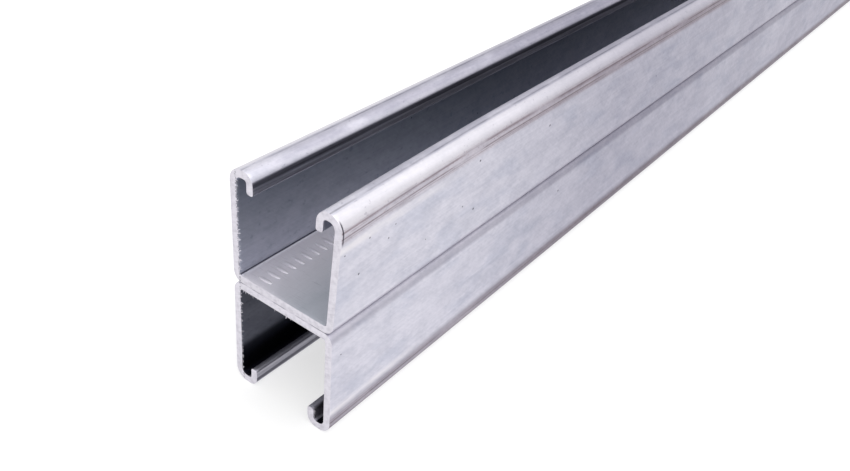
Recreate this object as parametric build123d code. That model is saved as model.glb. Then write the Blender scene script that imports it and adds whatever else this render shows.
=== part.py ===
from build123d import *
import math
import os

# Back-to-back strut channel: two roll-formed galvanised steel channels joined web to web,
# the upper one open at the top and the lower one open at the bottom.
# Frame: +X along the length, +Y across, +Z up. The origin is at the middle of the length and
# the width, on the level of the lower channel's lips, which the part stands on.
# All sizes are in millimetres.

# Stock
length = 914.4            # a 3 ft cut length
steel_thickness = 2.67    # 12 gauge strip

# Section of one channel
channel_width = 41.3
channel_height = 41.3
lip_width = 9.55          # from the wall's outside to the slot, which is 22.2 wide
lip_depth = 7.2           # how far a lip turns back into the channel
web_bend = 1.0            # inside radii of the bends
shoulder_bend = 2.0
lip_bend = 1.0
lip_edge = 0.9            # rounding of the strip's slit edge

# The cut has let two walls spring outwards at the end with the lowest X.
# Each value is how far the lips of that wall have moved.
upper_flare = 2.6         # upper channel, wall on the -Y side
lower_flare = 0.8         # lower channel, wall on the +Y side
flare_length = 90.0       # how far along the stock it reaches
flare_fade = 1.5          # power by which it grows towards the cut
flare_steps = 6

half_length = length / 2
half_width = channel_width / 2


def wall_corners(flare):
    """Corners (y, z, radius) of the wall on +Y, from the outside of the web round the lip to
    the inside of the web, with the web's outer face on z = 0. The wall leans outwards about
    its web corner until its top has moved by the flare."""
    lean = math.asin(flare / channel_height)
    across = Vector(math.cos(lean), -math.sin(lean))
    along = Vector(math.sin(lean), math.cos(lean))
    heel = Vector(half_width, 0)

    def on_wall(inward, up, radius):
        point = heel - across * inward + along * up
        return (point.X, point.Y, radius)

    lip_back = lip_width - steel_thickness
    lip_end = channel_height - lip_depth
    under_lip = channel_height - steel_thickness
    inside_foot = steel_thickness * (1 - math.sin(lean)) / math.cos(lean)
    return [
        (half_width, 0, web_bend + steel_thickness),
        on_wall(0, channel_height, shoulder_bend + steel_thickness),
        on_wall(lip_width, channel_height, lip_bend + steel_thickness),
        on_wall(lip_width, lip_end, lip_edge),
        on_wall(lip_back, lip_end, lip_edge),
        on_wall(lip_back, under_lip, lip_bend),
        on_wall(steel_thickness, under_lip, shoulder_bend),
        on_wall(steel_thickness, inside_foot, web_bend),
    ]


def rounded_outline(x, corners):
    """Closed wire in the plane at x, with every corner (y, z, radius) rounded."""
    starts = []
    middles = []
    ends = []
    for i, (y, z, radius) in enumerate(corners):
        corner = Vector(x, y, z)
        before = Vector(x, *corners[i - 1][:2]) - corner
        after = Vector(x, *corners[(i + 1) % len(corners)][:2]) - corner
        half_angle = math.radians(before.get_angle(after)) / 2
        reach = radius / math.tan(half_angle)
        inwards = (before.normalized() + after.normalized()).normalized()
        starts.append(corner + before.normalized() * reach)
        middles.append(corner + inwards * (radius / math.sin(half_angle) - radius))
        ends.append(corner + after.normalized() * reach)
    edges = []
    for i in range(len(corners)):
        edges.append(Edge.make_three_point_arc(starts[i], middles[i], ends[i]))
        edges.append(Edge.make_line(ends[i], starts[(i + 1) % len(corners)]))
    return Wire(edges)


def section(x, left_flare, right_flare):
    """Outline of one channel that opens upwards, with its web's outer face on z = 0."""
    left_side = wall_corners(left_flare)
    right_side = [(-y, z, radius) for y, z, radius in reversed(wall_corners(right_flare))]
    return rounded_outline(x, left_side + right_side)


def open_channel(left_flare, right_flare):
    """One channel that opens upwards, with its web's outer face on z = 0. Left is +Y."""
    flare_start = flare_length - half_length
    outlines = []
    for i in range(flare_steps + 1):
        share = i / flare_steps
        x = flare_start - share * flare_length
        grown = share**flare_fade
        outlines.append(section(x, left_flare * grown, right_flare * grown))
    flared_end = Solid.make_loft(outlines)
    straight = Solid.extrude(Face(outlines[0]), Vector(half_length - flare_start, 0, 0))
    return straight + flared_end


def make_upper_channel():
    return Pos(0, 0, channel_height) * open_channel(0, upper_flare)


def make_lower_channel():
    turned = Rot(180, 0, 0) * open_channel(0, lower_flare)
    return Pos(0, 0, channel_height) * turned


os.makedirs("parts", exist_ok=True)
export_step(make_upper_channel(), "parts/upper_channel.step")
export_step(make_lower_channel(), "parts/lower_channel.step")
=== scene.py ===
import math
from types import SimpleNamespace

import bpy
from bpy.props import FloatProperty, FloatVectorProperty, IntProperty, PointerProperty
from bpy.types import Operator, Panel, PropertyGroup
from mathutils import Matrix, Vector


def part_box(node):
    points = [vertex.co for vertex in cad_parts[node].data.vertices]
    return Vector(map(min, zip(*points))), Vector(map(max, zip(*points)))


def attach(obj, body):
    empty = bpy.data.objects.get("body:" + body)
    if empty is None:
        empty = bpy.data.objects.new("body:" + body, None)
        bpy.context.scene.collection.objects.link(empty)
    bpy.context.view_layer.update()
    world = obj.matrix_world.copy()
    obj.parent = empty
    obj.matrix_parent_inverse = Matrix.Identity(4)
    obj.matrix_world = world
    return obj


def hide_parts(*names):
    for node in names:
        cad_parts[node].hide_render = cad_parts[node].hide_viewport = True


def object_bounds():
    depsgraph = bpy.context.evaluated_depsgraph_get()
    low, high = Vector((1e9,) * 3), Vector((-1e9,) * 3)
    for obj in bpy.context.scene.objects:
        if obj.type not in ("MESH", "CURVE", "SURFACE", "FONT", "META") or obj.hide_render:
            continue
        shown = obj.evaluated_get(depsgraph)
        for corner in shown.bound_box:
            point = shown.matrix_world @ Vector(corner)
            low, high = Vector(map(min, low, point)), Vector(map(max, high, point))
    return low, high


bl_info = {
    "name": "Back-to-back strut channel",
    "version": (1, 0, 0),
    "blender": (4, 5, 0),
    "location": "View3D > Sidebar > Strut",
    "description": "Builds a cut length of doubled strut channel with its saw burrs and studio",
    "category": "Object",
}

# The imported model. +X runs along the stock from the near end, which the photograph shows, +Y
# across it to the left, and +Z up. The origin is halfway along, on the level of the lower
# channel's lips, and the webs meet at half the height. All lengths are in metres.
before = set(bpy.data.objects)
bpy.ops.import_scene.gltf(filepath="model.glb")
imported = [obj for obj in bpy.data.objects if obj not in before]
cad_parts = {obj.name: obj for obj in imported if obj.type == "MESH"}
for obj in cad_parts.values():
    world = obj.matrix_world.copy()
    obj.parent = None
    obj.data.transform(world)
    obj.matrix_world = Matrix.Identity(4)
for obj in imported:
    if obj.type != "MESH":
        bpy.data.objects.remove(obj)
CAD_LOW, CAD_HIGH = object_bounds()
NEAR_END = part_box("upper_channel")[0].x
FAR_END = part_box("upper_channel")[1].x
BODY = "root"

# Limits that leave one side of a mask open: FAR, and PAST_END where a soft edge at FAR would
# reach the far end
FAR = 1.0
PAST_END = 2.0


def hex_colour(text):
    """Linear colour of an sRGB hex value, by the curve of the sRGB standard."""
    parts = [int(text[i:i + 2], 16) / 255 for i in (1, 3, 5)]
    return tuple(c / 12.92 if c <= 0.04045 else ((c + 0.055) / 1.055) ** 2.4 for c in parts)


def size(name, description, default):
    """Property for a length in metres."""
    return FloatProperty(name=name, description=description, default=default, unit="LENGTH",
                         precision=5)


def colour(name, description, text):
    """Property for a colour given as an sRGB hex value."""
    return FloatVectorProperty(name=name, description=description, default=hex_colour(text),
                               subtype="COLOR", size=3, min=0, max=1)


class StrutSizes(PropertyGroup):
    """Sizes of the stock, as the solids have them, and the arch that the solids leave out."""
    length: size("Length", "Cut length of the stock", FAR_END - NEAR_END)
    width: size("Width", "Width of one channel, outside", 0.0413)
    height: size("Height", "Height of one channel, web to lips", 0.0413)
    steel: size("Steel thickness", "Thickness of the strip", 0.00267)
    lip_width: size("Lip width", "From the wall's outside to the slot", 0.00955)
    lip_depth: size("Lip depth", "How far a lip turns back into the channel", 0.0072)
    web_bend: size("Web bend", "Inside radius between web and wall", 0.001)
    shoulder_bend: size("Shoulder bend", "Inside radius between wall and lip", 0.002)
    lip_bend: size("Lip bend", "Inside radius where the lip turns back", 0.001)
    lip_edge: size("Lip edge", "Rounding of the strip's slit edge", 0.0009)
    upper_flare: size("Upper flare", "How far the upper right lip sprang out at the cut", 0.0026)
    lower_flare: size("Lower flare", "How far the lower left lip sprang out at the cut", 0.0008)
    flare_length: size("Flare length", "Length over which the flare fades", 0.09)
    flare_fade: FloatProperty(name="Flare fade", description="Power by which the flare grows",
                              default=1.5)
    lip_arch: FloatProperty(name="Lip arch", default=0.25,
                            description="Rise of a sprung lip, as a share of its flare")


class StrutDetails(PropertyGroup):
    """Sizes of the small things that sawing and rolling leave."""
    edge_break: size("Edge break", "Width of the worn edge round a cut end", 0.00012)
    burr_pitch: size("Burr pitch", "Distance between saw burrs", 0.0006)
    burr_size: size("Burr size", "Length of the longest saw burr", 0.0010)
    mark_pitch: size("Mark pitch", "Distance between the raised marks on the web", 0.0036)
    mark_length: size("Mark length", "Length of a raised mark, across the web", 0.0056)
    mark_width: size("Mark width", "Width of a raised mark", 0.0015)
    mark_height: size("Mark height", "How far a mark stands out of the web", 0.0004)
    mark_count: IntProperty(name="Marks", description="Raised marks in one group", default=10)


class StrutColours(PropertyGroup):
    """Colours of the finishes. A stain's colour multiplies the one under it, and some of them
    also paint shade and highlight.
    """
    zinc_light: colour("Zinc, light", "Zinc coating where it is cleanest", "#D8D6E0")
    zinc_dark: colour("Zinc, dark", "Zinc coating where it has dulled", "#BEBECA")
    # Also paints the highlight on the shoulders
    rubbed_and_highlight: colour("Zinc, rubbed", "Zinc coating where it was rubbed clean", "#ECE8EA")
    # Also painted shade: the walls darker away from the near end. Dents and scratches use it as
    # real dulling
    dulled_and_shade: colour("Dulled stain", "Duller coating away from the handled end", "#D3D2D8")
    smudge: colour("Smudge stain", "Blue-grey handling smudges", "#E2E7EE")
    bend_shade: colour("Rolled stain", "Coating that the rollers dulled at the bends", "#D6D4D8")
    # Painted shade on the bends by the webs and at the bottom of the lower channel
    scuff: colour("Scuff stain", "Roller scuffs under the shoulders", "#D8CCCB")
    # Mostly painted shade: inside the channels and on the web's right part. The spots inside are
    # tone
    oil_and_shade: colour("Oil stain", "Rolling oil on the inside of the walls", "#D1D8DB")
    # Also painted shade: in the lower channel, on the slot side of the lips and in the inner
    # corners. Elsewhere it is dirt
    grime_and_shade: colour("Grime stain", "Oil and dust in corners and seams and on the lips", "#72727C")
    # Also paints the shadow line behind the turned-over edge of the cut
    pit_and_shadow: colour("Pit stain", "Dark specks in the coating", "#5A5862")
    cut_steel: colour("Cut steel", "Bare steel of the sawn ends", "#DEDBE3")
    cut_shadow: colour("Saw line", "Darker lines that the saw left", "#C9C6CF")
    floor: colour("Floor", "Studio floor", "#F4F4F6")


# Nodes

def add_node(tree, kind, inputs=None, **settings):
    """Adds a node with its settings. An input given as a socket is linked, one given as a node
    is linked to that node's first output, and any other is the input's value."""
    node = tree.nodes.new(kind)
    for name, value in settings.items():
        setattr(node, name, value)
    for key, value in (inputs or {}).items():
        if isinstance(value, bpy.types.Node):
            value = value.outputs[0]
        if isinstance(value, bpy.types.NodeSocket):
            tree.links.new(value, node.inputs[key])
        else:
            node.inputs[key].default_value = value
    return node


# Masks and stains that the finishes are laid with

def product(tree, first, *others):
    """Product of a first factor and any number of others."""
    for other in others:
        first = add_node(tree, "ShaderNodeMath", {0: other, 1: first}, operation="MULTIPLY")
    return first


def strip(tree, place, low, high, soft=0.0003):
    """Mask that is 1 where a coordinate lies between two places, 0 outside them, and goes from
    one to the other over the soft width. All are in metres."""
    half = (high - low) / 2
    offset = add_node(tree, "ShaderNodeMath", {0: place, 1: low + half}, operation="SUBTRACT")
    distance = add_node(tree, "ShaderNodeMath", {0: offset}, operation="ABSOLUTE")
    return add_node(tree, "ShaderNodeMapRange", {
        "Value": distance, "From Min": half + soft / 2, "From Max": half - soft / 2},
        interpolation_type="SMOOTHSTEP")


def patches(tree, place, grain, stretch, low, high, detail=3.0, slant=0.0):
    """Mask of noise with grains of a size in metres, stretched along each axis and slanted about
    Y by an angle in degrees: 0 where the noise is under low, 1 where it is over high."""
    laid = add_node(tree, "ShaderNodeMapping", {
        "Vector": place, "Rotation": (0, math.radians(slant), 0),
        "Scale": [grain * times for times in stretch]}, vector_type="TEXTURE")
    noise = add_node(tree, "ShaderNodeTexNoise", {"Vector": laid, "Scale": 1.0, "Detail": detail})
    return add_node(tree, "ShaderNodeMapRange", {
        "Value": noise, "From Min": low, "From Max": high}, interpolation_type="SMOOTHSTEP")


def stain(tree, base, tone, share, *masks):
    """The colour so far, multiplied by a tone as far as the share, where every mask is 1. The
    tone is a stain in some places and painted shade in others.
    """
    return add_node(tree, "ShaderNodeMix", {
        0: product(tree, share, *masks), 6: base, 7: (*tone, 1)},
        data_type="RGBA", blend_type="MULTIPLY").outputs[2]


def new_material(name):
    """Empty node material with its tree, principled shader and object coordinates."""
    material = bpy.data.materials.new(name)
    material.use_nodes = True
    tree = material.node_tree
    tree.nodes.clear()
    shader = add_node(tree, "ShaderNodeBsdfPrincipled")
    add_node(tree, "ShaderNodeOutputMaterial", {"Surface": shader})
    place = add_node(tree, "ShaderNodeTexCoord").outputs["Object"]
    return material, tree, shader, place


# The coating of the strip, in the order in which its parts are laid

def stock_places(tree, place):
    """Where a point lies on the stock, for the coating. `along` is its distance from the near
    end, `rise` from the plane between the webs, and `side` from the middle plane, taken as it was
    before the walls sprang out. The rest are masks of the parts of the section and of wear."""
    sizes = bpy.context.scene.strut_sizes
    x, y, z = add_node(tree, "ShaderNodeSeparateXYZ", {0: place}).outputs
    along = add_node(tree, "ShaderNodeMath", {0: x, 1: NEAR_END}, operation="SUBTRACT")
    rise = add_node(tree, "ShaderNodeMath", {0: z, 1: sizes.height}, operation="SUBTRACT")
    rise = add_node(tree, "ShaderNodeMath", {0: rise}, operation="ABSOLUTE")
    side = add_node(tree, "ShaderNodeMath", {0: y}, operation="ABSOLUTE")

    # The walls sprang out in the upper right and lower left quarter, where these masks agree
    right = add_node(tree, "ShaderNodeMath", {0: y, 1: 0.0}, operation="LESS_THAN")
    upper = add_node(tree, "ShaderNodeMath", {0: z, 1: sizes.height}, operation="GREATER_THAN")
    sprung = add_node(tree, "ShaderNodeMath", {0: right, 1: upper}, operation="COMPARE")
    grown = add_node(tree, "ShaderNodeMapRange", {
        "Value": along, "From Min": sizes.flare_length, "From Max": 0.0})
    grown = add_node(tree, "ShaderNodeMath", {0: grown, 1: sizes.flare_fade}, operation="POWER")
    lean = add_node(tree, "ShaderNodeMapRange", {
        "Value": upper, "To Min": sizes.lower_flare / sizes.height,
        "To Max": sizes.upper_flare / sizes.height})
    side = add_node(tree, "ShaderNodeMath", {
        0: side, 1: product(tree, rise, grown, sprung, lean)}, operation="SUBTRACT")

    return SimpleNamespace(
        along=along, rise=rise, side=side, y=y, z=z, right=right,
        lower_half=strip(tree, z, -FAR, sizes.height),
        outside=strip(tree, side, 0.0188, FAR, 0.0006),
        flat_wall=strip(tree, side, 0.0200, FAR),
        inside=product(tree, strip(tree, side, 0.0150, 0.0193),
                       strip(tree, rise, 0.0032, 0.0388)),
        web=product(tree, strip(tree, rise, 0.0024, 0.0031), strip(tree, side, -FAR, 0.0172)),
        lip_top=strip(tree, rise, 0.0395, FAR),
        slot_side=strip(tree, side, -FAR, 0.0113),
        scuff_band=strip(tree, rise, 0.0338, 0.0386, 0.0020),
        away_from_end=strip(tree, along, 0.11, PAST_END, 0.18),
        streak=patches(tree, place, 0.0009, (40, 1, 1), 0.32, 0.68, 2.0),
        rubbing=patches(tree, place, 0.003, (5, 1, 1), 0.25, 0.60))


def mottled_zinc_and_highlight(tree, place, at, paint):
    """The coating itself: its colour, with a painted highlight on the shoulders, and how dull it
    is.
    """
    # Mottle of 1.6 mm in clouds of 6 mm, rolling streaks, and hatched rubbing at a slant
    cloud = patches(tree, place, 0.006, (1.6, 1, 1), 0.34, 0.66, 4.0)
    mottle = patches(tree, place, 0.0016, (1.3, 1, 1), 0.30, 0.70)
    hatch = patches(tree, place, 0.0007, (7, 1, 1), 0.35, 0.70, 2.0, 38)
    dull = product(tree, 0.22, mottle)
    for share, pattern in ((0.32, cloud), (0.20, at.streak), (0.16, hatch)):
        dull = add_node(tree, "ShaderNodeMath", {0: pattern, 1: share, 2: dull},
                        operation="MULTIPLY_ADD")

    # The web was hardly touched, and is a fifth as dull
    touched = add_node(tree, "ShaderNodeMath", {0: at.web, 1: -0.8, 2: 1.0},
                       operation="MULTIPLY_ADD")
    base = add_node(tree, "ShaderNodeMix", {
        0: product(tree, dull, touched), 6: (*paint.zinc_light, 1), 7: (*paint.zinc_dark, 1)},
        data_type="RGBA").outputs[2]

    # The shoulders were rubbed clean and carry a painted highlight, and near the end a strip
    # under each of them was rubbed clean
    under = product(tree, 0.6, strip(tree, at.rise, 0.0304, 0.0330, 0.0022), at.rubbing,
                    at.outside, strip(tree, at.along, -FAR, 0.04, 0.06))
    shoulder = product(tree, 0.4, strip(tree, at.rise, 0.0383, FAR, 0.0016),
                       strip(tree, at.side, 0.0166, FAR, 0.0007))
    lightened = add_node(tree, "ShaderNodeMath", {0: under, 1: shoulder}, operation="MAXIMUM")
    lightened = add_node(tree, "ShaderNodeMath", {0: at.web, 1: 0.35, 2: lightened},
                     operation="MULTIPLY_ADD")
    base = add_node(tree, "ShaderNodeMix", {0: lightened, 6: base, 7: (*paint.rubbed_and_highlight, 1)},
                    data_type="RGBA").outputs[2]
    return base, dull


def stain_and_shade_walls(tree, place, at, paint, base):
    """Stains on the outside of the walls from handling, and painted shade there: darker away from
    the near end and on the bends.
    """
    # Painted shade, darker in broad uneven bands away from the near end, and blue-grey smudges
    shade_bands = patches(tree, place, 0.09, (1, 3, 3), 0.10, 0.50, 1.0)
    base = stain(tree, base, paint.dulled_and_shade, at.away_from_end, shade_bands)
    smear = patches(tree, place, 0.008, (2.4, 1, 1), 0.46, 0.70, 4.0, 12)
    base = stain(tree, base, paint.smudge, 0.5, smear, at.flat_wall,
                 strip(tree, at.rise, -FAR, 0.0300, 0.0030))

    # Painted shade on the bends by the webs and by the lower lips, and dirt in the seam
    base = stain(tree, base, paint.bend_shade, 0.75, strip(tree, at.rise, -FAR, 0.0030, 0.0016),
                 strip(tree, at.side, 0.0183, FAR))
    base = stain(tree, base, paint.grime_and_shade, 0.8, strip(tree, at.rise, -FAR, 0.0002),
                 strip(tree, at.side, 0.0150, FAR))
    return stain(tree, base, paint.bend_shade, 0.85, strip(tree, at.z, -FAR, 0.0088, 0.0030),
                 strip(tree, at.side, 0.0130, FAR))


def stain_and_shade_lips_and_web(tree, place, at, paint, base):
    """Stains on the lips, inside their shoulders, and on the web, and painted shade on the web's
    right part.
    """
    dents = patches(tree, place, 0.0012, (1.6, 1, 1), 0.66, 0.74, 2.0)
    base = stain(tree, base, paint.dulled_and_shade, 0.5, dents, strip(tree, at.rise, 0.0380, FAR))

    # A blotchy dull strip, with a worn line at its outer edge
    blotch = patches(tree, place, 0.004, (4, 1, 1), 0.20, 0.55)
    base = stain(tree, base, paint.dulled_and_shade, 0.7, at.lip_top, blotch,
                 strip(tree, at.side, 0.0120, 0.0163, 0.0010),
                 strip(tree, at.along, 0.012, PAST_END, 0.02))
    base = stain(tree, base, paint.grime_and_shade, 0.5, strip(tree, at.side, 0.0154, 0.0160, 0.0004),
                 blotch, at.rubbing, at.lip_top)

    # Scratches across the web, and painted shade darkening it towards the right
    scratch = patches(tree, place, 0.0003, (1, 22, 1), 0.66, 0.74, 1.0)
    base = stain(tree, base, paint.dulled_and_shade, 0.35, at.web, scratch)
    right_shade = add_node(tree, "ShaderNodeMapRange", {
        "Value": at.y, "From Min": 0.009, "From Max": -0.007})
    return stain(tree, base, paint.oil_and_shade, 0.9, at.web, right_shade)


def scuff_shoulders(tree, place, at, paint, base):
    """Roller scuffs: a dull, flecked band below each shoulder. Also gives the mask of the thin
    lines along it."""
    band = product(tree, at.outside, at.scuff_band)
    worn = add_node(tree, "ShaderNodeMapRange", {
        "Value": at.away_from_end, "To Min": 0.40, "To Max": 0.85})
    base = stain(tree, base, paint.scuff, worn, band)
    faint = patches(tree, place, 0.0004, (300, 1, 1), 0.52, 0.66, 1.0)
    lines = product(tree, band, faint, 0.5)
    for height, width, depth in ((0.0377, 0.0006, 0.9), (0.0357, 0.0005, 1.0),
                                 (0.0348, 0.0002, 0.8)):
        groove = strip(tree, at.rise, height - width / 2, height + width / 2)
        groove = product(tree, depth, groove, at.outside)
        lines = add_node(tree, "ShaderNodeMath", {0: lines, 1: groove}, operation="MAXIMUM")
    breaks = patches(tree, place, 0.003, (9, 1, 1), 0.32, 0.52)
    lines = product(tree, lines, breaks)
    base = stain(tree, base, paint.scuff, 0.9, lines)
    base = stain(tree, base, paint.grime_and_shade, 0.25, lines)
    flecks = patches(tree, place, 0.0005, (2, 1, 1), 0.62, 0.72, 2.0)
    return stain(tree, base, paint.scuff, 0.8, band, flecks), lines


def stain_and_shade_inside(tree, place, at, paint, base):
    """Painted shade on the inside of the walls, with darker spots, and on the slot side of the
    lips and in corners.
    """
    # Painted shade, darker away from the end and under the lips, and darkest in the lower channel
    # and towards its bottom
    base = stain(tree, base, paint.oil_and_shade, 0.8, at.inside)
    base = stain(tree, base, paint.oil_and_shade, 0.9, at.inside,
                 strip(tree, at.along, 0.07, PAST_END, 0.14))
    base = stain(tree, base, paint.oil_and_shade, 0.4, at.inside,
                 strip(tree, at.rise, 0.0300, FAR, 0.0200))
    spots = patches(tree, place, 0.0026, (1.2, 1, 1), 0.60, 0.72)
    base = stain(tree, base, paint.oil_and_shade, 0.6, at.inside, spots)
    base = stain(tree, base, paint.grime_and_shade, 0.85, at.inside, at.lower_half)
    base = stain(tree, base, paint.grime_and_shade, 1.0, at.inside,
                 strip(tree, at.z, -FAR, 0.0145, 0.0030))

    # Painted shade on the slot side of the lips, streaked, with a dark line right under the bend
    lip_face = strip(tree, at.rise, 0.0336, 0.0390, 0.0008)
    base = stain(tree, base, paint.grime_and_shade, 0.3, at.slot_side, lip_face)
    base = stain(tree, base, paint.grime_and_shade, 0.5, at.slot_side, lip_face, at.streak)
    base = stain(tree, base, paint.grime_and_shade, 0.8, at.slot_side,
                 strip(tree, at.rise, 0.0370, 0.0390, 0.0008))
    # Painted shade in the inner corners between web and walls
    corner = product(tree, strip(tree, at.side, 0.01755, 0.0190),
                     strip(tree, at.rise, 0.0025, 0.0033))
    return stain(tree, base, paint.grime_and_shade, 1.0, corner)


def dark_specks(tree, place, at):
    """Mask of the dark specks in the coating."""
    # Those that show near the photographed end: along, height and radius in millimetres
    flat = add_node(tree, "ShaderNodeCombineXYZ", {0: at.along, 2: at.z})
    specks = None
    for along, height, radius in (
            (9.4, 60.1, 0.38), (13.0, 71.2, 0.30), (22.4, 66.2, 0.30), (25.3, 69.8, 0.26),
            (70.1, 72.7, 0.42), (62.6, 58.3, 0.30), (69.8, 54.1, 0.42), (116.4, 68.8, 0.45),
            (134.3, 33.0, 0.45), (4.2, 32.0, 0.26), (2.1, 70.6, 0.26)):
        gap = add_node(tree, "ShaderNodeVectorMath", {
            0: flat, 1: (along / 1000, 0, height / 1000)}, operation="DISTANCE").outputs["Value"]
        spot = add_node(tree, "ShaderNodeMapRange", {
            "Value": gap, "From Min": radius * 1.3e-3, "From Max": radius * 0.5e-3})
        specks = spot if specks is None else add_node(
            tree, "ShaderNodeMath", {0: specks, 1: spot}, operation="MAXIMUM")
    specks = product(tree, at.right, specks, at.outside)

    # A few more at random along the length, in about one of five cells of 14 mm
    cells = add_node(tree, "ShaderNodeTexVoronoi", {"Vector": place, "Scale": 70.0})
    rare = add_node(tree, "ShaderNodeSeparateColor", {0: cells.outputs["Color"]})
    rare = add_node(tree, "ShaderNodeMath", {0: rare, 1: 0.78}, operation="GREATER_THAN")
    tiny = add_node(tree, "ShaderNodeMapRange", {
        "Value": cells.outputs["Distance"], "From Min": 0.028, "From Max": 0.012})
    return add_node(tree, "ShaderNodeMath", {0: specks, 1: product(tree, rare, tiny)},
                    operation="MAXIMUM")


def pre_galvanised_steel():
    """Cold-rolled strip, hot-dip zinc coated at the mill and then roll-formed. To the eye it is
    a dull, pale lavender grey metal, mottled, with roller scuffs, smudges and dark specks. Its
    colour also carries painted shade, inside the channels, on the bends, on the web and away
    from the near end, and a painted highlight on the shoulders."""
    paint = bpy.context.scene.strut_colours
    material, tree, shader, place = new_material("pre_galvanised_steel")
    at = stock_places(tree, place)
    base, dull = mottled_zinc_and_highlight(tree, place, at, paint)
    base = stain_and_shade_walls(tree, place, at, paint, base)
    base = stain_and_shade_lips_and_web(tree, place, at, paint, base)
    base, lines = scuff_shoulders(tree, place, at, paint, base)
    base = stain_and_shade_inside(tree, place, at, paint, base)
    specks = dark_specks(tree, place, at)
    base = stain(tree, base, paint.pit_and_shadow, 1.0, specks)

    # Painted shadow behind the edge of the upper right shoulder, where the saw turned the coating
    # over
    fold_shadow = product(tree, at.right, strip(tree, at.along, 0.0004, 0.0009),
                   strip(tree, at.side, 0.0190, FAR, 0.0015),
                   strip(tree, at.z, 0.0750, FAR, 0.0020))
    base = stain(tree, base, paint.pit_and_shadow, 1.0, fold_shadow)

    # Relief: orange peel, the scuffs' lines and the specks' pits
    peel = patches(tree, place, 0.0010, (1.4, 1, 1), 0.0, 1.0, 2.0)
    relief = product(tree, 0.8, peel)
    for mask, height in ((lines, -1.2), (specks, -3.0)):
        relief = add_node(tree, "ShaderNodeMath", {0: mask, 1: height, 2: relief},
                          operation="MULTIPLY_ADD")
    bump = add_node(tree, "ShaderNodeBump", {
        "Height": relief, "Strength": 0.4, "Distance": 0.00006})
    rough = add_node(tree, "ShaderNodeMapRange", {"Value": dull, "To Min": 0.40, "To Max": 0.54})
    rough = add_node(tree, "ShaderNodeMath", {0: at.web, 1: 0.2, 2: rough},
                     operation="MULTIPLY_ADD")
    tree.links.new(base, shader.inputs["Base Color"])
    tree.links.new(rough.outputs[0], shader.inputs["Roughness"])
    tree.links.new(bump.outputs[0], shader.inputs["Normal"])
    shader.inputs["Metallic"].default_value = 1.0
    return material


def saw_cut_steel():
    """Bare low-carbon steel as a cut-off saw leaves it. To the eye it is bright and satin,
    with faint slanting saw lines 0.4 mm apart."""
    paint = bpy.context.scene.strut_colours
    material, tree, shader, place = new_material("saw_cut_steel")
    turned = add_node(tree, "ShaderNodeMapping", {
        "Vector": place, "Rotation": (math.radians(24), 0, 0)})
    line = patches(tree, turned.outputs[0], 0.0004, (1, 30, 1), 0.35, 0.70, 2.0)
    cloud = patches(tree, place, 0.0016, (1, 1, 1), 0.40, 0.72)
    mix = add_node(tree, "ShaderNodeMath", {0: line, 1: 0.3, 2: product(tree, 0.7, cloud)},
                   operation="MULTIPLY_ADD")
    base = add_node(tree, "ShaderNodeMix", {
        0: mix, 6: (*paint.cut_steel, 1), 7: (*paint.cut_shadow, 1)},
        data_type="RGBA").outputs[2]
    bump = add_node(tree, "ShaderNodeBump", {"Height": mix, "Strength": 0.3, "Distance": 0.00008})

    # The rim on the inside of the left walls is nibbled, and the saw smeared most of the seam
    _, y, z = add_node(tree, "ShaderNodeSeparateXYZ", {0: place}).outputs
    nibbled = patches(tree, place, 0.0007, (1, 1, 1), 0.50, 0.56)
    base = stain(tree, base, paint.grime_and_shade, 0.75, nibbled, strip(tree, y, 0.0178, 0.0184))
    seam = bpy.context.scene.strut_sizes.height
    seam = strip(tree, z, seam - 0.00014, seam + 0.00014, 0.0001)
    left_open = patches(tree, place, 0.005, (1, 1, 1), 0.42, 0.58)
    base = stain(tree, base, paint.grime_and_shade, 0.7, left_open, seam)
    tree.links.new(base, shader.inputs["Base Color"])
    tree.links.new(bump.outputs[0], shader.inputs["Normal"])
    shader.inputs["Metallic"].default_value = 1.0
    shader.inputs["Roughness"].default_value = 0.5
    return material


def stock_material(name, make):
    """The material of that name, made once."""
    return bpy.data.materials.get(name) or make()


def zinc():
    return stock_material("pre_galvanised_steel", pre_galvanised_steel)


def bare_steel():
    return stock_material("saw_cut_steel", saw_cut_steel)


# Geometry trees and what they make

def new_tree(name, inputs):
    """Geometry tree with these named inputs, and the group input's sockets by name."""
    tree = bpy.data.node_groups.new(name, "GeometryNodeTree")
    tree.interface.new_socket(name="Geometry", in_out="OUTPUT", socket_type="NodeSocketGeometry")
    for label, kind in inputs:
        tree.interface.new_socket(name=label, in_out="INPUT", socket_type=kind)
    return tree, add_node(tree, "NodeGroupInput").outputs


def close_tree(tree, geometry, *finishes):
    """Ends a tree: makes instances real, sets a material for each (selection, material), and
    links the output."""
    geometry = add_node(tree, "GeometryNodeRealizeInstances", {0: geometry})
    for selection, material in finishes:
        inputs = {"Geometry": geometry, "Material": material}
        if selection is not None:
            inputs["Selection"] = selection
        geometry = add_node(tree, "GeometryNodeSetMaterial", inputs)
    add_node(tree, "NodeGroupOutput", {0: geometry})


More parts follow.
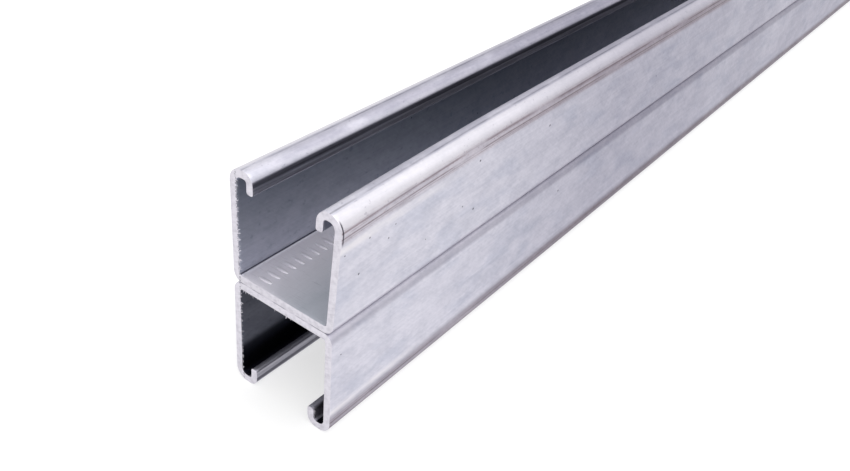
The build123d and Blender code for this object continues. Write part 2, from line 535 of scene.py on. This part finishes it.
def grow(name, tree, values, edge_break=0.0):
    """Runs a tree with these inputs, and keeps the result as a plain mesh that rides on the
    body. An edge break rounds the edges of the cut ends."""
    carrier = bpy.data.objects.new("carrier", bpy.data.meshes.new("carrier"))
    bpy.context.scene.collection.objects.link(carrier)
    modifier = carrier.modifiers.new("tree", "NODES")
    modifier.node_group = tree
    keys = {item.name: item.identifier for item in tree.interface.items_tree
            if item.in_out == "INPUT"}
    for label, value in values.items():
        modifier[keys[label]] = value
    if edge_break:
        worn = carrier.modifiers.new("worn_edges", "BEVEL")
        worn.width = edge_break
        worn.segments = 2
        worn.angle_limit = math.radians(60)
    depsgraph = bpy.context.evaluated_depsgraph_get()
    mesh = bpy.data.meshes.new_from_object(carrier.evaluated_get(depsgraph), depsgraph=depsgraph)
    carrier.modifiers.clear()
    bpy.data.objects.remove(carrier)
    if not mesh.polygons:
        raise RuntimeError(f"{name} came out empty")
    while mesh.materials[0] is None:
        mesh.materials.pop(index=0)
    mesh.name = name
    mesh.shade_smooth()
    mesh.set_sharp_from_angle(angle=math.radians(35))
    piece = bpy.data.objects.new(name, mesh)
    bpy.context.scene.collection.objects.link(piece)
    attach(piece, BODY)
    return piece


def section_corners(sizes):
    """Corners (y, z, radius) of one channel's outline, web down, from the web's +Y corner
    round."""
    half = sizes.width / 2
    back = half - sizes.lip_width + sizes.steel
    under = sizes.height - sizes.steel
    end = sizes.height - sizes.lip_depth
    side = [
        (half, 0, sizes.web_bend + sizes.steel),
        (half, sizes.height, sizes.shoulder_bend + sizes.steel),
        (half - sizes.lip_width, sizes.height, sizes.lip_bend + sizes.steel),
        (half - sizes.lip_width, end, sizes.lip_edge),
        (back, end, sizes.lip_edge),
        (back, under, sizes.lip_bend),
        (half - sizes.steel, under, sizes.shoulder_bend),
        (half - sizes.steel, sizes.steel, sizes.web_bend),
    ]
    return side + [(-y, z, radius) for y, z, radius in reversed(side)]


# Points round a bend, and the radius over which a bend is wide. One more point lies a little
# outside each end of it, which keeps the flats flat when they are shaded
WIDE_BEND = 0.003
WIDE_STEPS = 9
TIGHT_STEPS = 6
BEND_MARGIN = 0.00015


def section_curve(sizes):
    """Closed curve of the section, turned as a sweep along +X needs it."""
    corners = section_corners(sizes)
    points = []
    for i, (y, z, radius) in enumerate(corners):
        corner = Vector((y, z))
        before = (Vector(corners[i - 1][:2]) - corner).normalized()
        after = (Vector(corners[(i + 1) % len(corners)][:2]) - corner).normalized()
        half_angle = before.angle(after) / 2
        reach = radius / math.tan(half_angle)
        middle = corner + (before + after).normalized() * radius / math.sin(half_angle)
        start = corner + before * reach - middle
        turn = start.angle_signed(corner + after * reach - middle)
        steps = WIDE_STEPS if radius > WIDE_BEND else TIGHT_STEPS
        points.append(corner + before * (reach + BEND_MARGIN))
        for k in range(steps + 1):
            a = -turn * k / steps
            swung = Vector((start.x * math.cos(a) - start.y * math.sin(a),
                            start.x * math.sin(a) + start.y * math.cos(a)))
            points.append(middle + swung)
        points.append(corner + after * (reach + BEND_MARGIN))
    curve = bpy.data.curves.new("section", "CURVE")
    curve.dimensions = "3D"
    spline = curve.splines.new("POLY")
    spline.points.add(len(points) - 1)
    for point, (y, z) in zip(spline.points, points):
        point.co = (-y, -z, 0, 1)
    spline.use_cyclic_u = True
    section = bpy.data.objects.new("section", curve)
    bpy.context.scene.collection.objects.link(section)
    return section


# Steps along the stock, over the flare and in all
FINE_STEPS = 60
ALL_STEPS = 90

# Heights over the web: where a leaning wall leaves its web bend, and where its arch sets in
BEND_TOP = 0.008
ARCH_START = 0.030
ARCH_FULL = 0.038


def channel_tree():
    """Sweeps the section along the length, in short steps where the end flares, and leans the
    right wall outwards there. The ends get the bare steel."""
    tree, given = new_tree("roll_formed_channel", [
        ("Section", "NodeSocketObject"), ("Near end", "NodeSocketFloat"),
        ("Flare end", "NodeSocketFloat"), ("Straight length", "NodeSocketFloat"),
        ("Fine steps", "NodeSocketInt"), ("All steps", "NodeSocketInt"),
        ("Height", "NodeSocketFloat"), ("Half width", "NodeSocketFloat"),
        ("Lip width", "NodeSocketFloat"), ("Steel", "NodeSocketFloat"),
        ("Right flare", "NodeSocketFloat"), ("Fade", "NodeSocketFloat"),
        ("Arch", "NodeSocketFloat"),
        ("Strip", "NodeSocketMaterial"), ("Cut end", "NodeSocketMaterial")])

    # Path: fine steps over the flare, long steps over the rest
    count = add_node(tree, "ShaderNodeMath", {0: given["All steps"], 1: 1.0}, operation="ADD")
    path = add_node(tree, "GeometryNodeMeshLine", {"Count": count})
    index = add_node(tree, "GeometryNodeInputIndex")
    fine = add_node(tree, "ShaderNodeMapRange", {
        "Value": index, "From Max": given["Fine steps"],
        "To Min": given["Near end"], "To Max": given["Flare end"]})
    far = add_node(tree, "ShaderNodeMapRange", {
        "Value": index, "From Min": given["Fine steps"], "From Max": given["All steps"],
        "To Max": given["Straight length"]})
    along = add_node(tree, "ShaderNodeMath", {0: fine, 1: far}, operation="ADD")
    along = add_node(tree, "ShaderNodeCombineXYZ", {0: along})
    path = add_node(tree, "GeometryNodeSetPosition", {"Geometry": path, "Position": along})
    path = add_node(tree, "GeometryNodeMeshToCurve", {"Mesh": path})
    section = add_node(tree, "GeometryNodeObjectInfo", {"Object": given["Section"]})
    sweep = add_node(tree, "GeometryNodeCurveToMesh", {
        "Curve": path, "Profile Curve": section.outputs["Geometry"], "Fill Caps": True})

    # Flare: the right wall turns about its web corner, less and less away from the cut
    place = add_node(tree, "GeometryNodeInputPosition")
    x, y, z = add_node(tree, "ShaderNodeSeparateXYZ", {0: place}).outputs
    share = add_node(tree, "ShaderNodeMapRange", {
        "Value": x, "From Min": given["Flare end"], "From Max": given["Near end"]})
    share = add_node(tree, "ShaderNodeMath", {0: share, 1: given["Fade"]}, operation="POWER")
    outwards = add_node(tree, "ShaderNodeMath", {0: y}, operation="SIGN")
    flare = add_node(tree, "ShaderNodeMapRange", {
        "Value": outwards, "From Min": -1.0, "To Min": given["Right flare"], "To Max": 0.0})
    flare = add_node(tree, "ShaderNodeMath", {0: flare, 1: share}, operation="MULTIPLY")
    lean = add_node(tree, "ShaderNodeMath", {0: flare, 1: given["Height"]}, operation="DIVIDE")
    sideways = product(tree, lean, z, outwards)
    inward = add_node(tree, "ShaderNodeMath", {0: y}, operation="ABSOLUTE")
    inward = add_node(tree, "ShaderNodeMath", {0: given["Half width"], 1: inward},
                      operation="SUBTRACT")
    free = add_node(tree, "ShaderNodeMapRange", {
        "Value": z, "From Min": given["Steel"], "From Max": BEND_TOP})
    upwards = product(tree, lean, inward, free)

    # Arch: the bent-over top of a sprung wall rises between its shoulder and its lip
    across = add_node(tree, "ShaderNodeMapRange", {
        "Value": inward, "From Max": given["Lip width"], "To Max": math.pi})
    bow = add_node(tree, "ShaderNodeMath", {0: across}, operation="SINE")
    top = add_node(tree, "ShaderNodeMapRange", {
        "Value": z, "From Min": ARCH_START, "From Max": ARCH_FULL},
        interpolation_type="SMOOTHSTEP")
    arch = product(tree, flare, share, given["Arch"], bow, top)
    upwards = add_node(tree, "ShaderNodeMath", {0: upwards, 1: arch}, operation="ADD")
    offset = add_node(tree, "ShaderNodeCombineXYZ", {1: sideways, 2: upwards})
    flared = add_node(tree, "GeometryNodeSetPosition", {"Geometry": sweep, "Offset": offset})

    # The end faces are those that look along the length
    normal = add_node(tree, "GeometryNodeInputNormal")
    cut = add_node(tree, "ShaderNodeSeparateXYZ", {0: normal})
    cut = add_node(tree, "ShaderNodeMath", {0: cut}, operation="ABSOLUTE")
    cut = add_node(tree, "ShaderNodeMath", {0: cut, 1: 0.9}, operation="GREATER_THAN")
    close_tree(tree, flared, (None, given["Strip"]), (cut, given["Cut end"]))
    return tree


# How far a channel's box may be from its solid's, because of the arch
BOX_TOLERANCE = 0.0012


class STRUT_OT_channels(Operator):
    """Build both roll-formed channels in place of the plain solids"""
    bl_idname = "strut.channels"
    bl_label = "Roll-formed channels"

    def execute(self, context):
        sizes = context.scene.strut_sizes
        details = context.scene.strut_details
        section = section_curve(sizes)
        tree = channel_tree()
        lift = Matrix.Translation((0, 0, sizes.height))
        for name, turn, flare, arch in (
                ("upper_channel", 0, sizes.upper_flare, sizes.lip_arch),
                ("lower_channel", math.pi, sizes.lower_flare, 0.0)):
            piece = grow(f"rolled_{name}", tree, {
                "Section": section, "Near end": NEAR_END,
                "Flare end": NEAR_END + sizes.flare_length,
                "Straight length": sizes.length - sizes.flare_length,
                "Fine steps": FINE_STEPS, "All steps": ALL_STEPS,
                "Height": sizes.height, "Half width": sizes.width / 2,
                "Lip width": sizes.lip_width, "Steel": sizes.steel,
                "Right flare": flare, "Fade": sizes.flare_fade, "Arch": arch,
                "Strip": zinc(), "Cut end": bare_steel(),
            }, details.edge_break)
            piece.data.transform(lift @ Matrix.Rotation(turn, 4, "X"))
            points = [vertex.co for vertex in piece.data.vertices]
            for pick, wanted in zip((min, max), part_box(name)):
                corner = Vector(map(pick, *points))
                if (corner - wanted).length > BOX_TOLERANCE:
                    raise RuntimeError(f"{name} is at {corner} and its solid at {wanted}")
            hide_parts(name)
        bpy.data.objects.remove(section)
        return {"FINISHED"}


def row_curve(rows):
    """Curve object with one open polyline for each row of points."""
    curve = bpy.data.curves.new("row", "CURVE")
    curve.dimensions = "3D"
    for points in rows:
        spline = curve.splines.new("POLY")
        spline.points.add(len(points) - 1)
        for point, place in zip(spline.points, points):
            point.co = (*place, 1)
    row = bpy.data.objects.new("row", curve)
    bpy.context.scene.collection.objects.link(row)
    return row


def burr_tree():
    """Sets small torn teeth along rows on the rim of a cut end. Each leans away from the steel,
    which lies on the right of its row as seen along +X."""
    tree, given = new_tree("saw_burrs", [
        ("Rows", "NodeSocketObject"), ("Pitch", "NodeSocketFloat"), ("Size", "NodeSocketFloat"),
        ("Seed", "NodeSocketInt"), ("Metal", "NodeSocketMaterial")])
    rows = add_node(tree, "GeometryNodeObjectInfo", {"Object": given["Rows"]})
    points = add_node(tree, "GeometryNodeCurveToPoints", {
        "Curve": rows.outputs["Geometry"], "Length": given["Pitch"]}, mode="LENGTH")

    # Direction, a little askew
    away = add_node(tree, "ShaderNodeVectorMath", {0: points.outputs["Tangent"], 1: (1, 0, 0)},
                    operation="CROSS_PRODUCT")
    lean = add_node(tree, "FunctionNodeRandomValue", {
        "Min": (-0.25, -0.4, -0.9), "Max": (0.30, 0.4, 0.9), "Seed": given["Seed"]},
        data_type="FLOAT_VECTOR")
    away = add_node(tree, "ShaderNodeVectorMath", {0: away, 1: lean}, operation="ADD")
    turn = add_node(tree, "FunctionNodeAlignRotationToVector", {"Vector": away}, axis="Z")

    # Seven places in ten have a tooth, from a quarter of the full size up, and thin one way
    seed = add_node(tree, "ShaderNodeMath", {0: given["Seed"], 1: 1.0}, operation="ADD")
    kept = add_node(tree, "FunctionNodeRandomValue", {"Probability": 0.7, "Seed": seed},
                    data_type="BOOLEAN").outputs[3]
    seed = add_node(tree, "ShaderNodeMath", {0: given["Seed"], 1: 2.0}, operation="ADD")
    grown = add_node(tree, "FunctionNodeRandomValue", {2: 0.5, 3: 1.0, "Seed": seed}).outputs[1]
    grown = add_node(tree, "ShaderNodeMath", {0: grown, 1: 2.0}, operation="POWER")
    base = add_node(tree, "ShaderNodeMath", {0: given["Size"], 1: 0.28}, operation="MULTIPLY")
    tooth = add_node(tree, "GeometryNodeMeshCone", {
        "Vertices": 6, "Radius Top": 0.00004, "Radius Bottom": base, "Depth": given["Size"]})
    thin = add_node(tree, "ShaderNodeMath", {0: grown, 1: 0.4}, operation="MULTIPLY")
    shape = add_node(tree, "ShaderNodeCombineXYZ", {0: thin, 1: grown, 2: grown})
    teeth = add_node(tree, "GeometryNodeInstanceOnPoints", {
        "Points": points, "Selection": kept, "Instance": tooth, "Rotation": turn, "Scale": shape})
    close_tree(tree, teeth, (None, given["Metal"]))
    return tree


# How far behind the cut the rows of teeth lie, so that each tooth is rooted in the steel
BURR_SETBACK = 0.00015


class STRUT_OT_burrs(Operator):
    """Set the saw burrs on the rims of the photographed end"""
    bl_idname = "strut.burrs"
    bl_label = "Saw burrs"

    def execute(self, context):
        sizes = context.scene.strut_sizes
        details = context.scene.strut_details
        near = NEAR_END + BURR_SETBACK
        inside = sizes.width / 2 - sizes.steel
        leant = inside + 0.8 * sizes.lower_flare
        upper_web = sizes.height + sizes.steel
        lower_web = sizes.height - sizes.steel
        shoulder = 2 * sizes.height - 0.0040
        lip_back = -(sizes.width / 2 - sizes.lip_width + sizes.steel)
        rows = [
            # Down the inside of the two left walls, the lower of which leans outwards
            [(near, inside, shoulder), (near, inside, upper_web + 0.0012)],
            [(near, inside + 0.0002, lower_web - 0.0015), (near, leant, 0.0045)],
            # Down the back of the lower right lip, and two stretches under the lower web
            [(near, lip_back, 0.0066), (near, lip_back, 0.0036)],
            [(near, -0.0050, lower_web), (near, 0.0030, lower_web)],
            [(near, 0.0100, lower_web), (near, inside - 0.001, lower_web)],
        ]
        row = row_curve(rows)
        grow("saw_burrs_near_end", burr_tree(), {
            "Rows": row, "Pitch": details.burr_pitch, "Size": details.burr_size, "Seed": 4,
            "Metal": bare_steel()})
        bpy.data.objects.remove(row)
        return {"FINISHED"}


def mark_tree():
    """Sets a row of plain raised bars along +X, each across the row and half sunk."""
    tree, given = new_tree("raised_marks", [
        ("Start", "NodeSocketVector"), ("Count", "NodeSocketInt"), ("Pitch", "NodeSocketFloat"),
        ("Length", "NodeSocketFloat"), ("Width", "NodeSocketFloat"), ("Rise", "NodeSocketFloat"),
        ("Metal", "NodeSocketMaterial")])
    step = add_node(tree, "ShaderNodeCombineXYZ", {0: given["Pitch"]})
    row = add_node(tree, "GeometryNodeMeshLine", {
        "Count": given["Count"], "Start Location": given["Start"], "Offset": step})
    bead = add_node(tree, "GeometryNodeMeshUVSphere", {
        "Segments": 20, "Rings": 12, "Radius": 0.5})
    deep = add_node(tree, "ShaderNodeMath", {0: given["Rise"], 1: 2.0}, operation="MULTIPLY")
    shape = add_node(tree, "ShaderNodeCombineXYZ", {
        0: given["Width"], 1: given["Length"], 2: deep})
    bars = add_node(tree, "GeometryNodeInstanceOnPoints", {
        "Points": row, "Instance": bead, "Scale": shape})
    close_tree(tree, bars, (None, given["Metal"]))
    return tree


# Where the first group of marks starts from the near end, how far the groups are apart along
# the stock, and the middle of their row across it
MARK_START = 0.0036
MARK_REPEAT = 0.3048
MARK_GROUPS = 3
MARK_SIDE = 0.0105


class STRUT_OT_marks(Operator):
    """Raise the plain marks on the upper web"""
    bl_idname = "strut.marks"
    bl_label = "Raised web marks"

    def execute(self, context):
        sizes = context.scene.strut_sizes
        details = context.scene.strut_details
        tree = mark_tree()
        face = sizes.height + sizes.steel
        for i in range(MARK_GROUPS):
            start = NEAR_END + MARK_START + i * MARK_REPEAT
            grow(f"web_marks_{i + 1}", tree, {
                "Start": (start, MARK_SIDE, face), "Count": details.mark_count,
                "Pitch": details.mark_pitch, "Length": details.mark_length,
                "Width": details.mark_width, "Rise": details.mark_height, "Metal": zinc()})
        return {"FINISHED"}


def seen_plainly(tree):
    """1 for the rays by which the camera, or its view in metal or glass, sees a backdrop."""
    path = add_node(tree, "ShaderNodeLightPath").outputs
    seen = add_node(tree, "ShaderNodeMath", {
        0: path["Is Camera Ray"], 1: path["Is Glossy Ray"]}, operation="MAXIMUM")
    return add_node(tree, "ShaderNodeMath", {
        0: seen, 1: path["Is Transmission Ray"]}, operation="MAXIMUM")


# The floor reaches this far each way, in metres
FLOOR_REACH = 8.0

# The photograph's width and the camera's focal length, in pixels
PHOTO_WIDTH = 850
FOCAL_LENGTH = 879.1


class STRUT_OT_stage(Operator):
    """Build the floor, the plain soft light and the camera"""
    bl_idname = "strut.stage"
    bl_label = "Stage"

    def execute(self, context):
        scene = context.scene
        paint = scene.strut_colours
        scene.view_settings.view_transform = "Standard"

        # Pale floor. Seen directly it also glows a little, so that it comes out as white as the
        # photograph's background
        mesh = bpy.data.meshes.new("floor")
        mesh.from_pydata([(x * FLOOR_REACH, y * FLOOR_REACH, CAD_LOW.z)
                          for x, y in ((-1, -1), (1, -1), (1, 1), (-1, 1))], [], [(0, 1, 2, 3)])
        floor = bpy.data.objects.new("floor", mesh)
        scene.collection.objects.link(floor)
        material = bpy.data.materials.new("studio_floor")
        material.use_nodes = True
        tree = material.node_tree
        tree.nodes.clear()
        matt = add_node(tree, "ShaderNodeBsdfDiffuse", {"Color": (*paint.floor, 1)})
        soft = add_node(tree, "ShaderNodeBsdfDiffuse", {"Color": (0.45, 0.45, 0.45, 1)})
        glow = add_node(tree, "ShaderNodeEmission", {"Color": (1, 1, 1, 1), "Strength": 0.62})
        pale = add_node(tree, "ShaderNodeAddShader", {0: soft, 1: glow})
        mixed = add_node(tree, "ShaderNodeMixShader", {0: seen_plainly(tree), 1: matt, 2: pale})
        add_node(tree, "ShaderNodeOutputMaterial", {"Surface": mixed})
        mesh.materials.append(material)

        # White surroundings, which light the object a little less than they show
        world = bpy.data.worlds.new("studio")
        scene.world = world
        world.use_nodes = True
        tree = world.node_tree
        tree.nodes.clear()
        strength = add_node(tree, "ShaderNodeMapRange", {
            "Value": seen_plainly(tree), "To Min": 0.75, "To Max": 1.0})
        back = add_node(tree, "ShaderNodeBackground", {
            "Color": (1, 1, 1, 1), "Strength": strength})
        add_node(tree, "ShaderNodeOutputWorld", {"Surface": back})

        # Two broad lamps
        for name, power, spread, direction in (
                ("side", 0.35, 60, (0.45, 0.75, -0.60)),
                ("top", 0.65, 50, (0.10, 0.35, -0.95))):
            lamp = bpy.data.lights.new(name, "SUN")
            lamp.energy = power
            lamp.angle = math.radians(spread)
            holder = bpy.data.objects.new(name, lamp)
            holder.rotation_euler = Vector(direction).to_track_quat("-Z", "Y").to_euler()
            scene.collection.objects.link(holder)

        # A soft box over the near end, on the right
        lamp = bpy.data.lights.new("soft_box", "AREA")
        lamp.energy = 1.2
        lamp.size = 1.0
        holder = bpy.data.objects.new("soft_box", lamp)
        holder.location = (NEAR_END + 0.15, -0.14, 0.536)
        holder.rotation_euler = Vector((-0.15, 0.12, -0.456)).to_track_quat("-Z", "Y").to_euler()
        scene.collection.objects.link(holder)

        # The photograph's own viewpoint and directions, worked out from the section's edges
        lens = bpy.data.cameras.new("camera")
        lens.sensor_width = 36.0
        lens.lens = FOCAL_LENGTH / PHOTO_WIDTH * lens.sensor_width
        lens.clip_start = 0.01
        lens.clip_end = 100
        camera = bpy.data.objects.new("camera", lens)
        right = Vector((0.60448, -0.79217, 0.08415))
        down = Vector((-0.40786, -0.39849, -0.82150))
        ahead = right.cross(down)
        turn = Matrix((right, -down, -ahead)).transposed().to_4x4()
        camera.matrix_world = Matrix.Translation((NEAR_END - 0.1470, -0.14878, 0.21283)) @ turn
        scene.collection.objects.link(camera)
        scene.camera = camera
        return {"FINISHED"}


class STRUT_PT_panel(Panel):
    """Lists the sizes, colours and pieces in the sidebar"""
    bl_idname = "STRUT_PT_panel"
    bl_label = "Strut channel"
    bl_space_type = "VIEW_3D"
    bl_region_type = "UI"
    bl_category = "Strut"

    def draw(self, context):
        for group in (context.scene.strut_sizes, context.scene.strut_details,
                      context.scene.strut_colours):
            box = self.layout.box()
            for name in group.__annotations__:
                box.prop(group, name)
        for operator in PIECES:
            self.layout.operator(operator.bl_idname)


PIECES = (STRUT_OT_stage, STRUT_OT_channels, STRUT_OT_burrs, STRUT_OT_marks)
CLASSES = (StrutSizes, StrutDetails, StrutColours, *PIECES, STRUT_PT_panel)


def register():
    for item in CLASSES:
        bpy.utils.register_class(item)
    bpy.types.Scene.strut_sizes = PointerProperty(type=StrutSizes)
    bpy.types.Scene.strut_details = PointerProperty(type=StrutDetails)
    bpy.types.Scene.strut_colours = PointerProperty(type=StrutColours)


def unregister():
    del bpy.types.Scene.strut_colours
    del bpy.types.Scene.strut_details
    del bpy.types.Scene.strut_sizes
    for item in reversed(CLASSES):
        bpy.utils.unregister_class(item)


def main():
    register()
    bpy.ops.strut.stage()
    bpy.ops.strut.channels()
    bpy.ops.strut.burrs()
    bpy.ops.strut.marks()


if __name__ == "__main__":
    main()
